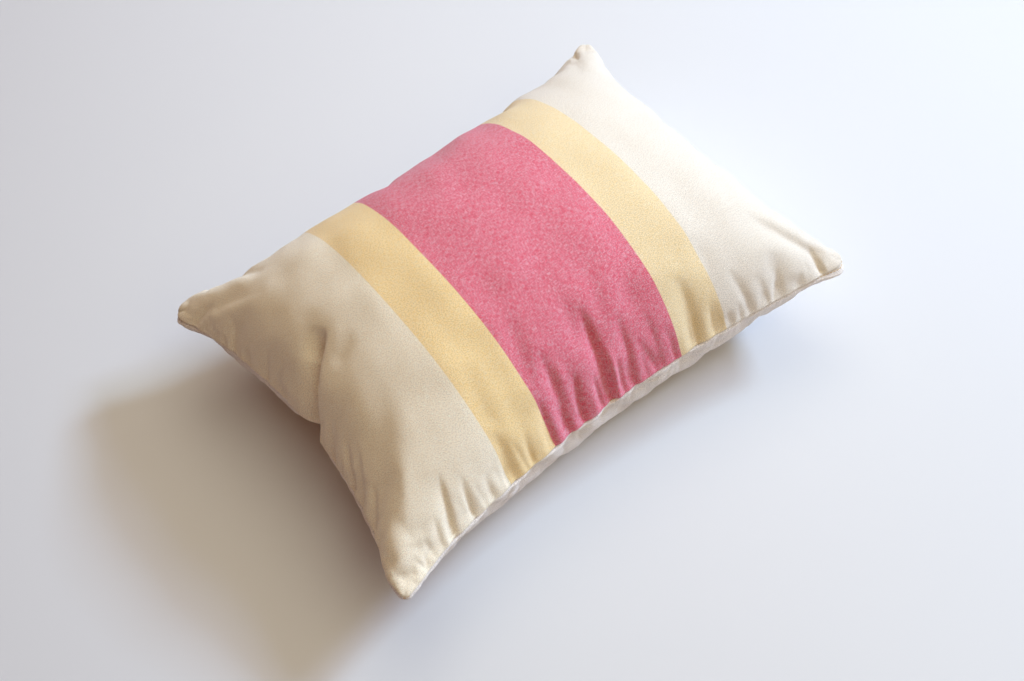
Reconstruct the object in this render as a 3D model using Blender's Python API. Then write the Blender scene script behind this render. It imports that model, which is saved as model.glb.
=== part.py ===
# A stuffed lumbar cushion, lying on its back. Metres, +Z up.
# Two flat panels are sewn together all round with a knife-edge seam and filled. The panels' length
# runs along X and their width along Y, and the cushion rests flat on z = 0.
from collections import namedtuple
from math import pi

import bmesh
import bpy
import numpy as np

# The cover lies 16 by 12 inches flat, and the filling pulls its corner tips closer together.
FLAT_LENGTH = 0.4064
FLAT_WIDTH = 0.3048
TIP_LENGTH = 0.378
TIP_WIDTH = 0.281

# Heights over the table: the seam's mean height, and how far the two panels swell from it.
SEAM_HEIGHT = 0.060
FRONT_SWELL = 0.0751
BACK_SWELL = 0.106
BASE_ROUNDING = 0.015

# The crown's profile along the length and across the width, (1 - |u| ** power) ** shoulder.
CROWN_POWER = (2.50, 2.59)
CROWN_SHOULDER = (0.603, 0.681)

# Each side bows in between its corners, and its seam rises or dips in the middle.
BOW_POWER = 1.81
Side = namedtuple("Side", "drawn_in rise")
NEAR = Side(drawn_in=0.0218, rise=-0.0032)
FAR = Side(drawn_in=0.0284, rise=0.0078)
LEFT = Side(drawn_in=0.0236, rise=-0.0006)
RIGHT = Side(drawn_in=0.0164, rise=0.0018)

# The ears, at the corners: the sheet through the seam rises towards each, and the ear itself swings
# to its own place. Every corner is sewn in a small arc on the flat panels.
Ear = namedtuple("Ear", "end side rise swing_x swing_y swing_z")
EARS = (
    Ear(-1, -1, -0.0028, -0.0005, -0.0065, -0.0010),
    Ear(1, -1, 0.0004, 0.0005, 0.0010, 0.0000),
    Ear(-1, 1, 0.0000, -0.0015, -0.0005, -0.0030),
    Ear(1, 1, 0.0022, 0.0045, 0.0065, 0.0034),
)
EAR_REACH = 0.035
CORNER_RADIUS = 0.012

# Cloth on the crown lies wider than in plan, because near the seams it stands steeply.
SPREAD_LONG = 0.192
SPREAD_WIDE = 0.051

# Woven bands of the front panel from left to right, with the edge where each one ends on the flat
# panel, and the columns of faces that it gets before the folds are drawn finer.
Band = namedtuple("Band", "name ends_at columns colour")
BANDS = (
    Band("cream_left", -0.0972, 12, (0.72, 0.60, 0.46)),
    Band("yellow_left", -0.0559, 4, (0.80, 0.61, 0.33)),
    Band("pink", 0.0579, 11, (0.71, 0.22, 0.29)),
    Band("yellow_right", 0.0973, 4, (0.80, 0.61, 0.33)),
    Band("cream_right", FLAT_LENGTH / 2, 12, (0.80, 0.73, 0.66)),
)
BACK_COLOUR = (0.52, 0.46, 0.41)
CLOTH_ROUGHNESS = 0.9
ROWS = 30
EDGE_CROWDING = 0.5

# Faces this close to a fold are halved once, and twice beside a deep one.
HALVED_WITHIN = 1.45
DEEP_FOLD = 0.005

# A step on the flat panels over which the slope of the cloth is read, and a guard for divisions.
SLOPE_STEP = 0.0005
SMALL = 1e-9

# Pinches and gathers, drawn on the flat panels: each runs from a point to another, in metres from
# the panel's middle, and is a trough of the given depth, or a ridge where the depth is negative.
# The width is half of the trough's, and it fades out towards its second point.
Fold = namedtuple("Fold", "panel from_x from_y to_x to_y depth width")
FOLDS = (
    # The deep pinch in the left side, with the ridge and the dimple to its right.
    Fold("front", -0.203, -0.019, -0.146, 0.018, 0.0080, 0.0062),
    Fold("front", -0.198, -0.028, -0.140, 0.010, -0.0034, 0.0065),
    Fold("front", -0.140, -0.012, -0.162, -0.040, 0.0028, 0.0080),
    Fold("front", -0.203, 0.000, -0.188, 0.020, 0.0030, 0.0045),
    # The far left ear: its full far side, its tuck and the hollow under its ridge.
    Fold("front", -0.182, 0.1524, -0.176, 0.112, -0.0038, 0.0150),
    Fold("back", -0.182, 0.1524, -0.176, 0.126, -0.0038, 0.0150),
    Fold("front", -0.203, 0.138, -0.186, 0.126, 0.0030, 0.0050),
    Fold("front", -0.186, 0.118, -0.150, 0.070, 0.0030, 0.0100),
    # The near left ear's full left side.
    Fold("front", -0.203, -0.134, -0.178, -0.128, -0.0036, 0.0130),
    Fold("back", -0.203, -0.134, -0.188, -0.128, -0.0036, 0.0130),
    # Gathers along the near seam, from the left ear to the right one.
    Fold("front", -0.146, -0.1524, -0.136, -0.118, 0.0032, 0.0042),
    Fold("front", -0.132, -0.1524, -0.126, -0.128, 0.0022, 0.0042),
    Fold("front", -0.093, -0.1524, -0.092, -0.128, 0.0016, 0.0055),
    Fold("front", -0.059, -0.1524, -0.062, -0.120, 0.0022, 0.0050),
    Fold("front", -0.038, -0.1524, -0.043, -0.112, 0.0024, 0.0055),
    Fold("front", -0.021, -0.1524, -0.026, -0.100, 0.0026, 0.0055),
    Fold("front", -0.004, -0.1524, 0.004, -0.090, 0.0052, 0.0055),
    Fold("front", 0.011, -0.1524, 0.014, -0.112, 0.0028, 0.0050),
    Fold("front", 0.028, -0.1524, 0.026, -0.108, 0.0022, 0.0060),
    Fold("front", 0.050, -0.1524, 0.046, -0.118, 0.0022, 0.0060),
    Fold("front", 0.077, -0.1524, 0.072, -0.112, 0.0034, 0.0080),
    Fold("front", 0.114, -0.1524, 0.108, -0.122, 0.0034, 0.0055),
    Fold("front", 0.132, -0.1524, 0.128, -0.130, 0.0024, 0.0050),
    Fold("front", 0.148, -0.1524, 0.140, -0.126, 0.0022, 0.0055),
    # The groove that parts the near right ear from the body, and the ear's underside.
    Fold("front", 0.188, -0.1524, 0.146, -0.082, 0.0056, 0.0095),
    Fold("back", 0.194, -0.1524, 0.176, -0.132, -0.0040, 0.0100),
    # Far seam: the notch of the far ear, and kinks in the crown's outline.
    Fold("front", 0.178, 0.1524, 0.146, 0.104, 0.0060, 0.0070),
    Fold("front", 0.082, 0.1524, 0.076, 0.108, 0.0030, 0.0070),
    Fold("front", -0.031, 0.1524, -0.033, 0.104, 0.0026, 0.0080),
    Fold("front", -0.154, 0.1524, -0.142, 0.104, 0.0036, 0.0070),
    # Gathers of the back panel, which slant where they show under the near seam.
    Fold("back", -0.060, -0.1524, -0.036, -0.112, 0.0026, 0.0060),
    Fold("back", -0.012, -0.1524, 0.014, -0.108, 0.0034, 0.0060),
    Fold("back", 0.012, -0.1524, 0.036, -0.110, 0.0026, 0.0060),
    Fold("back", 0.060, -0.1524, 0.080, -0.112, 0.0028, 0.0070),
)


def bow(u):
    """One in the middle of a side and nothing at its corners."""
    return 1 - np.abs(u) ** BOW_POWER


def between(low, high, u):
    """The value at u, from low at -1 to high at +1."""
    return low * (1 - u) / 2 + high * (1 + u) / 2


def round_corners(s, t):
    """Moves a grid's square corners onto the arcs in which the panels' corners are sewn."""
    half_length, half_width = FLAT_LENGTH / 2, FLAT_WIDTH / 2
    past_x = np.clip(np.abs(s) * half_length - (half_length - CORNER_RADIUS), 0, None)
    past_y = np.clip(np.abs(t) * half_width - (half_width - CORNER_RADIUS), 0, None)
    reach = np.maximum(np.hypot(past_x, past_y), SMALL)
    pull = 1 - np.where((past_x > 0) & (past_y > 0), np.maximum(past_x, past_y) / reach, 1)
    return s - np.sign(s) * pull * past_x / half_length, t - np.sign(t) * pull * past_y / half_width


def seam_sheet(s, t):
    """Plan and height of the sheet through the seam, at s along the length and t across it."""
    end = np.where(s < 0, LEFT.drawn_in, RIGHT.drawn_in)
    side = np.where(t < 0, NEAR.drawn_in, FAR.drawn_in)
    x = s * (1 + SPREAD_LONG * (1 - s * s) * bow(t)) * (TIP_LENGTH / 2 - end * bow(t))
    y = t * (1 + SPREAD_WIDE * (1 - t * t) * bow(s)) * (TIP_WIDTH / 2 - side * bow(s))
    z = SEAM_HEIGHT + bow(s) * between(NEAR.rise, FAR.rise, t)
    z = z + bow(t) * between(LEFT.rise, RIGHT.rise, s)
    for ear in EARS:
        z = z + ear.rise * between(0, 1, s * ear.end) * between(0, 1, t * ear.side)
        off = np.hypot((s - ear.end) * FLAT_LENGTH / 2, (t - ear.side) * FLAT_WIDTH / 2)
        swing = np.exp(-(off / EAR_REACH) ** 2)
        x = x + ear.swing_x * swing
        y = y + ear.swing_y * swing
        z = z + ear.swing_z * swing
    return x, y, z


def crown(s, t):
    """Share of the full swell: one in the middle and nothing along the seam."""
    share = 1.0
    for u, power, shoulder in zip((s, t), CROWN_POWER, CROWN_SHOULDER):
        share = share * np.maximum(1 - np.abs(u) ** power, 0) ** shoulder
    return share


def press_flat(z):
    """The table stops the back panel at z = 0, which it meets in a round turn."""
    turn = (z + BASE_ROUNDING) ** 2 / (4 * BASE_ROUNDING)
    return np.where(z > BASE_ROUNDING, z, np.where(z < -BASE_ROUNDING, 0, turn))


def past_fold(fold, s, t):
    """Distance to a fold's line over its width, and how far along the line, from 0 to 1."""
    x, y = s * FLAT_LENGTH / 2, t * FLAT_WIDTH / 2
    run_x, run_y = fold.to_x - fold.from_x, fold.to_y - fold.from_y
    along = ((x - fold.from_x) * run_x + (y - fold.from_y) * run_y) / (run_x ** 2 + run_y ** 2)
    along = np.clip(along, 0, 1)
    off = np.hypot(x - fold.from_x - along * run_x, y - fold.from_y - along * run_y)
    return off / fold.width, along


def fold_depth(panel, s, t):
    """Sum of the folds of one panel at points of its flat cloth."""
    depth = np.zeros_like(s)
    for fold in FOLDS:
        if fold.panel == panel:
            across, along = past_fold(fold, s, t)
            depth += fold.depth * np.exp(-across ** 2) * (1 - along ** 3) ** 2
    return depth


def bare_panel(panel, s, t):
    """Points of a swollen panel before its folds are pressed in."""
    x, y, z = seam_sheet(*round_corners(s, t))
    if panel == "front":
        z = z + FRONT_SWELL * crown(s, t)
    else:
        z = press_flat(z - BACK_SWELL * crown(s, t))
    return np.stack([x, y, z], axis=1)


def folded_panel(panel, s, t):
    """Points of a panel with its folds pressed in along its outward normals."""
    step_s, step_t = 2 * SLOPE_STEP / FLAT_LENGTH, 2 * SLOPE_STEP / FLAT_WIDTH
    ahead_s, behind_s = np.clip(s + step_s, -1, 1), np.clip(s - step_s, -1, 1)
    ahead_t, behind_t = np.clip(t + step_t, -1, 1), np.clip(t - step_t, -1, 1)
    along = bare_panel(panel, ahead_s, t) - bare_panel(panel, behind_s, t)
    across = bare_panel(panel, s, ahead_t) - bare_panel(panel, s, behind_t)
    normal = np.cross(along, across) if panel == "front" else np.cross(across, along)
    normal /= np.maximum(np.linalg.norm(normal, axis=1, keepdims=True), SMALL)
    return bare_panel(panel, s, t) - fold_depth(panel, s, t)[:, None] * normal


def crowded(even):
    """Even steps from -1 to 1, moved closer together towards both ends."""
    return (1 - EDGE_CROWDING) * even + EDGE_CROWDING * np.sin(pi / 2 * even)


def columns():
    """Grid lines along the length, with one on each edge of a band, and the band of each column."""
    lines, owners = [-1.0], []
    for index, band in enumerate(BANDS):
        start, stop = lines[-1], band.ends_at / (FLAT_LENGTH / 2)
        share = np.linspace(0, 1, band.columns + 1)
        if index == 0:
            share = 1 + crowded(share - 1)
        if index == len(BANDS) - 1:
            share = crowded(share)
        lines += list(start + (stop - start) * share[1:])
        owners += [index] * band.columns
    return np.array(lines), owners


def flat_cover():
    """The two panels laid flat. A point holds s, t and its side: 1 front, -1 back, 0 on the seam."""
    lines, owners = columns()
    rows = crowded(np.linspace(-1, 1, ROWS + 1))
    cover = bmesh.new()
    front, back = {}, {}
    for i, s in enumerate(lines):
        for j, t in enumerate(rows):
            on_seam = abs(s) == 1 or abs(t) == 1
            front[i, j] = cover.verts.new((s, t, 0 if on_seam else 1))
            back[i, j] = front[i, j] if on_seam else cover.verts.new((s, t, -1))
    for i, band in enumerate(owners):
        for j in range(ROWS):
            corners = ((i, j), (i + 1, j), (i + 1, j + 1), (i, j + 1))
            cover.faces.new([front[corner] for corner in corners]).material_index = band
            back_face = cover.faces.new([back[corner] for corner in reversed(corners)])
            back_face.material_index = len(BANDS)
    return cover


def halve_faces_near(cover, folds):
    """Cuts every edge of the faces that lie on these folds in half."""
    edges = set()
    for face in cover.faces:
        panel = "back" if face.material_index == len(BANDS) else "front"
        middle = face.calc_center_median()
        for fold in folds:
            if fold.panel == panel and past_fold(fold, middle.x, middle.y)[0] < HALVED_WITHIN:
                edges.update(face.edges)
    bmesh.ops.subdivide_edges(cover, edges=list(edges), cuts=1, use_grid_fill=True)


def split_faces_on_seam(cover):
    """Splits each face with three points on the seam, so that only the seam joins the panels."""
    crossing = [face for face in cover.faces if sum(vert.co.z == 0 for vert in face.verts) > 2]
    bmesh.ops.poke(cover, faces=crossing)


def stuff(cover):
    """Moves every point of the flat cover to its place on the stuffed cushion."""
    flat = np.array([vert.co for vert in cover.verts])
    s, t, side = flat.T
    front, back = folded_panel("front", s, t), folded_panel("back", s, t)
    seam = (front + back) / 2
    front_or_back = np.where(side[:, None] > 0, front, back)
    for vert, place in zip(cover.verts, np.where(side[:, None] == 0, seam, front_or_back)):
        vert.co = place


def cloth_material(name, colour):
    material = bpy.data.materials.new(name)
    material.use_nodes = True
    shader = material.node_tree.nodes["Principled BSDF"]
    shader.inputs["Base Color"].default_value = (*colour, 1)
    shader.inputs["Roughness"].default_value = CLOTH_ROUGHNESS
    shader.inputs["Metallic"].default_value = 0
    return material


def make_cushion():
    """One closed body, whose front and back panels share the points along their seam."""
    cover = flat_cover()
    halve_faces_near(cover, FOLDS)
    halve_faces_near(cover, [fold for fold in FOLDS if fold.depth > DEEP_FOLD])
    split_faces_on_seam(cover)
    stuff(cover)
    resting, raised = [], []
    for face in cover.faces:
        lies_flat = all(vert.co.z == 0 for vert in face.verts)
        (resting if lies_flat else raised).append(face)
    bmesh.ops.dissolve_faces(cover, faces=resting, use_verts=True)
    bmesh.ops.triangulate(cover, faces=raised, quad_method="SHORT_EDGE")
    for face in cover.faces:
        face.smooth = True

    mesh = bpy.data.meshes.new("cushion")
    cover.to_mesh(mesh)
    cover.free()
    for band in BANDS:
        mesh.materials.append(cloth_material(band.name, band.colour))
    mesh.materials.append(cloth_material("back_cloth", BACK_COLOUR))
    cushion = bpy.data.objects.new("cushion", mesh)
    bpy.context.scene.collection.objects.link(cushion)


for leftover in list(bpy.data.objects):
    bpy.data.objects.remove(leftover)
make_cushion()
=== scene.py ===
# %% [markdown]
# A banded lumbar cushion
#
# This lesson dresses a stuffed lumbar cushion: a woven front panel with five bands of colour, a plain
# back panel, and the knife-edge seam that joins them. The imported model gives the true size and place.
# Each step below says what the real thing is, how it could be made, and why one way was chosen. All
# lengths are in metres.

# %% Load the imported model
from collections import namedtuple

import bpy
import numpy as np
from mathutils import Matrix, Vector


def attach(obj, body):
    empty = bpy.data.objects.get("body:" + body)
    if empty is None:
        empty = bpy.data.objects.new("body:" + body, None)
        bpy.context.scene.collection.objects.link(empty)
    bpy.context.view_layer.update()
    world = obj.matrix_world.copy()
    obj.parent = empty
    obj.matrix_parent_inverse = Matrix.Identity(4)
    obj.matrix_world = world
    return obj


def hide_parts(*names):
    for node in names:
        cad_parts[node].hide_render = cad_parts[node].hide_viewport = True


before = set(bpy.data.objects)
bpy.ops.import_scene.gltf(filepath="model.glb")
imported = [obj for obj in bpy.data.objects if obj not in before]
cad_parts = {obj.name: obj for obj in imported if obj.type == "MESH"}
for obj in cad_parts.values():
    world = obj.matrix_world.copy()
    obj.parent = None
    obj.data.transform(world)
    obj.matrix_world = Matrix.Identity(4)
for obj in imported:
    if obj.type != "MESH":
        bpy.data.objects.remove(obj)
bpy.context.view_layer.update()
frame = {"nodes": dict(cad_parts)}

scene = bpy.context.scene


print("nodes:", ", ".join(frame["nodes"]))

# %% [markdown]
# Camera
#
# The photograph looks down on the cushion from its near left corner, about 54 degrees above the
# table. A camera could be aimed with a Track To constraint, but the picture is also rolled a little,
# so its three axes are given outright: where the picture's right, down and forward point in the room.

# %% Camera
EYE = Vector((-0.2928, -0.4970, 0.8013))
PICTURE_RIGHT = Vector((0.7894, -0.6074, -0.0892))
PICTURE_DOWN = Vector((-0.5386, -0.6154, -0.5756))
PICTURE_FORWARD = Vector((0.2947, 0.5024, -0.8129))
FOCAL_LENGTH_MM = 47.8
SENSOR_MM = 36
NEAREST_SEEN = 0.01

camera_data = bpy.data.cameras.new("camera")
camera_data.lens = FOCAL_LENGTH_MM
camera_data.sensor_width = SENSOR_MM
camera_data.clip_start = NEAREST_SEEN
camera = bpy.data.objects.new("camera", camera_data)
scene.collection.objects.link(camera)
turn = Matrix((PICTURE_RIGHT, -PICTURE_DOWN, -PICTURE_FORWARD)).transposed()
camera.matrix_world = Matrix.Translation(EYE) @ turn.to_4x4()
scene.camera = camera
print("camera", round(EYE.length, 3), "m from the middle of the cushion's base")

# %% [markdown]
# The stuffed shape
#
# Two flat panels sewn round their edge and filled make a shape that no primitive has: the crown is
# full, the four sides draw in between the corners, and the corners stand out as flat ears. It could
# be sculpted, or blown up by a simulation from flat, but then nobody could say how large it ends up.
# Here every point of the flat panels gets its place by a formula of a few real sizes, the same ones
# as the solid that this piece stands for. On the flat panels, s runs from -1 to 1 along the length
# and t from -1 to 1 across the width.

# %% Sizes of the cover and of the stuffed shape
FLAT_LENGTH = 0.4064
FLAT_WIDTH = 0.3048
TIP_LENGTH = 0.378
TIP_WIDTH = 0.281
SEAM_HEIGHT = 0.060
FRONT_SWELL = 0.0751
BACK_SWELL = 0.106
BASE_ROUNDING = 0.015
CROWN_POWER = (2.50, 2.59)
CROWN_SHOULDER = (0.603, 0.681)
BOW_POWER = 1.81
SPREAD_LONG = 0.192
SPREAD_WIDE = 0.051
EAR_REACH = 0.035
SMALL = 1e-9

Side = namedtuple("Side", "drawn_in rise")
NEAR = Side(drawn_in=0.0218, rise=-0.0032)
FAR = Side(drawn_in=0.0284, rise=0.0078)
LEFT = Side(drawn_in=0.0236, rise=-0.0006)
RIGHT = Side(drawn_in=0.0164, rise=0.0018)

Ear = namedtuple("Ear", "end side radius rise swing_x swing_y swing_z")
EARS = (
    Ear(-1, -1, 0.006, -0.0028, 0.0002, -0.0053, -0.0010),
    Ear(1, -1, 0.012, 0.0004, 0.0005, 0.0010, 0.0000),
    Ear(-1, 1, 0.012, 0.0000, -0.0015, -0.0005, -0.0030),
    Ear(1, 1, 0.012, 0.0022, 0.0045, 0.0065, 0.0034),
)


# %% The seam's sheet and the crown over it
def bow(u):
    """One in the middle of a side and nothing at its corners."""
    return 1 - np.abs(u) ** BOW_POWER


def between(low, high, u):
    """The value at u, from low at -1 to high at +1."""
    return low * (1 - u) / 2 + high * (1 + u) / 2


def round_corners(s, t):
    """Moves a grid's square corners onto the arcs in which the panels' corners are sewn."""
    half_length, half_width = FLAT_LENGTH / 2, FLAT_WIDTH / 2
    radius = np.zeros_like(s)
    for ear in EARS:
        radius = np.where((s * ear.end > 0) & (t * ear.side > 0), ear.radius, radius)
    past_x = np.clip(np.abs(s) * half_length - (half_length - radius), 0, None)
    past_y = np.clip(np.abs(t) * half_width - (half_width - radius), 0, None)
    reach = np.maximum(np.hypot(past_x, past_y), SMALL)
    pull = 1 - np.where((past_x > 0) & (past_y > 0), np.maximum(past_x, past_y) / reach, 1)
    return s - np.sign(s) * pull * past_x / half_length, t - np.sign(t) * pull * past_y / half_width


def seam_sheet(s, t):
    """Plan and height of the sheet through the seam, at s along the length and t across it."""
    end = np.where(s < 0, LEFT.drawn_in, RIGHT.drawn_in)
    side = np.where(t < 0, NEAR.drawn_in, FAR.drawn_in)
    x = s * (1 + SPREAD_LONG * (1 - s * s) * bow(t)) * (TIP_LENGTH / 2 - end * bow(t))
    y = t * (1 + SPREAD_WIDE * (1 - t * t) * bow(s)) * (TIP_WIDTH / 2 - side * bow(s))
    z = SEAM_HEIGHT + bow(s) * between(NEAR.rise, FAR.rise, t)
    z = z + bow(t) * between(LEFT.rise, RIGHT.rise, s)
    for ear in EARS:
        z = z + ear.rise * between(0, 1, s * ear.end) * between(0, 1, t * ear.side)
        off = np.hypot((s - ear.end) * FLAT_LENGTH / 2, (t - ear.side) * FLAT_WIDTH / 2)
        swing = np.exp(-(off / EAR_REACH) ** 2)
        x = x + ear.swing_x * swing
        y = y + ear.swing_y * swing
        z = z + ear.swing_z * swing
    return x, y, z


def crown(s, t):
    """Share of the full swell: one in the middle and nothing along the seam."""
    share = 1.0
    for u, power, shoulder in zip((s, t), CROWN_POWER, CROWN_SHOULDER):
        share = share * np.maximum(1 - np.abs(u) ** power, 0) ** shoulder
    return share


def press_flat(z):
    """The table stops the back panel at z = 0, which it meets in a round turn."""
    turn = (z + BASE_ROUNDING) ** 2 / (4 * BASE_ROUNDING)
    return np.where(z > BASE_ROUNDING, z, np.where(z < -BASE_ROUNDING, 0, turn))


def bare_panel(panel, s, t):
    """Points of a swollen panel before any fold is pressed in."""
    x, y, z = seam_sheet(*round_corners(s, t))
    if panel == "front":
        z = z + FRONT_SWELL * crown(s, t)
    else:
        z = press_flat(z - BACK_SWELL * crown(s, t))
    return np.stack([x, y, z], axis=-1)


for panel in ("front", "back"):
    middle = bare_panel(panel, np.zeros(1), np.zeros(1))[0]
    print("middle of the", panel, "panel", round(float(middle[2]), 4), "m above the table")

# %% [markdown]
# Laying the cloth evenly
#
# Woven cloth hardly stretches, so its yarns keep their spacing when the panel is stuffed. The
# formula above doesn't know that: it crowds its lines over the crown and spreads them beside the
# seam. A grid with even steps in s and t would show a stretched weave there. So the lengths along
# the curves are added up first, and the grid's lines go where the cloth's own lines would lie. They
# come closer together at the seam, where the small forms are.

# %% Where a point of the flat cloth lands
TABLE_STEPS = 241
LANDING_ROUNDS = 5


def table_places():
    """Places from -1 to 1 that crowd strongly at both ends."""
    return np.sin(np.pi / 2 * np.linspace(-1, 1, TABLE_STEPS))


def share_of_length(points, axis):
    """How far along its grid line each point lies, by length, from -1 to 1."""
    steps = np.linalg.norm(np.diff(points, axis=axis), axis=-1)
    start = np.zeros_like(np.take(steps, [0], axis=axis))
    total = np.cumsum(np.concatenate([start, steps], axis=axis), axis=axis)
    return 2 * total / np.take(total, [-1], axis=axis) - 1


def read_table(table, rows, columns, places):
    """Values between the entries of a square table whose lines lie at the given places."""
    i = np.clip(np.searchsorted(places, rows) - 1, 0, len(places) - 2)
    j = np.clip(np.searchsorted(places, columns) - 1, 0, len(places) - 2)
    part_i = np.clip((rows - places[i]) / (places[i + 1] - places[i]), 0, 1)
    part_j = np.clip((columns - places[j]) / (places[j + 1] - places[j]), 0, 1)
    low = table[i, j] * (1 - part_j) + table[i, j + 1] * part_j
    high = table[i + 1, j] * (1 - part_j) + table[i + 1, j + 1] * part_j
    return low * (1 - part_i) + high * part_i


def landing_tables(panel):
    """For one panel: s by cloth place and t, and t by s and cloth place."""
    places = table_places()
    s, t = np.meshgrid(places, places, indexing="ij")
    points = bare_panel(panel, s, t)
    along, across = share_of_length(points, 0), share_of_length(points, 1)
    s_table = np.stack([np.interp(places, along[:, j], places) for j in range(TABLE_STEPS)], axis=1)
    t_table = np.stack([np.interp(places, across[i], places) for i in range(TABLE_STEPS)], axis=0)
    return s_table, t_table


def land(panel, cloth_x, cloth_y):
    """s and t of the points of the flat cloth, whose places run from -1 to 1 both ways."""
    places = table_places()
    s_table, t_table = landing_tables(panel)
    s, t = cloth_x, cloth_y
    for _ in range(LANDING_ROUNDS):
        s = read_table(s_table, cloth_x, t, places)
        t = read_table(t_table, s, cloth_y, places)
    on_end, on_side = np.abs(cloth_x) == 1, np.abs(cloth_y) == 1
    return np.where(on_end, cloth_x, s), np.where(on_side, cloth_y, t)


half_way = np.full(1, 0.5)
lands_s, lands_t = land("front", half_way, half_way)
print("cloth half-way out lands at s", round(float(lands_s[0]), 3), "and t", round(float(lands_t[0]), 3))

# %% [markdown]
# Folds
#
# Stuffing shortens the seam, and the spare cloth beside it gathers into small puffs with creases
# between them. The left side has one deep pinch, and each ear has its own tuck. Such folds could be
# sculpted, but a table of them can be read and changed: each row is a line on a panel, mostly from
# the seam inwards, with a depth, a width, how sharp its bottom is, and how far it leans. A negative
# depth is a ridge. A leaning fold is wider on the left of its line and steeper on the right. The
# folds lie at the formula's own s and t, written as metres from the panel's middle. The fine creases
# are places on the cloth instead, and are pressed into the fine cover only, because they are narrower
# than the steps of the coarse copy that is settled further on.

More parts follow.
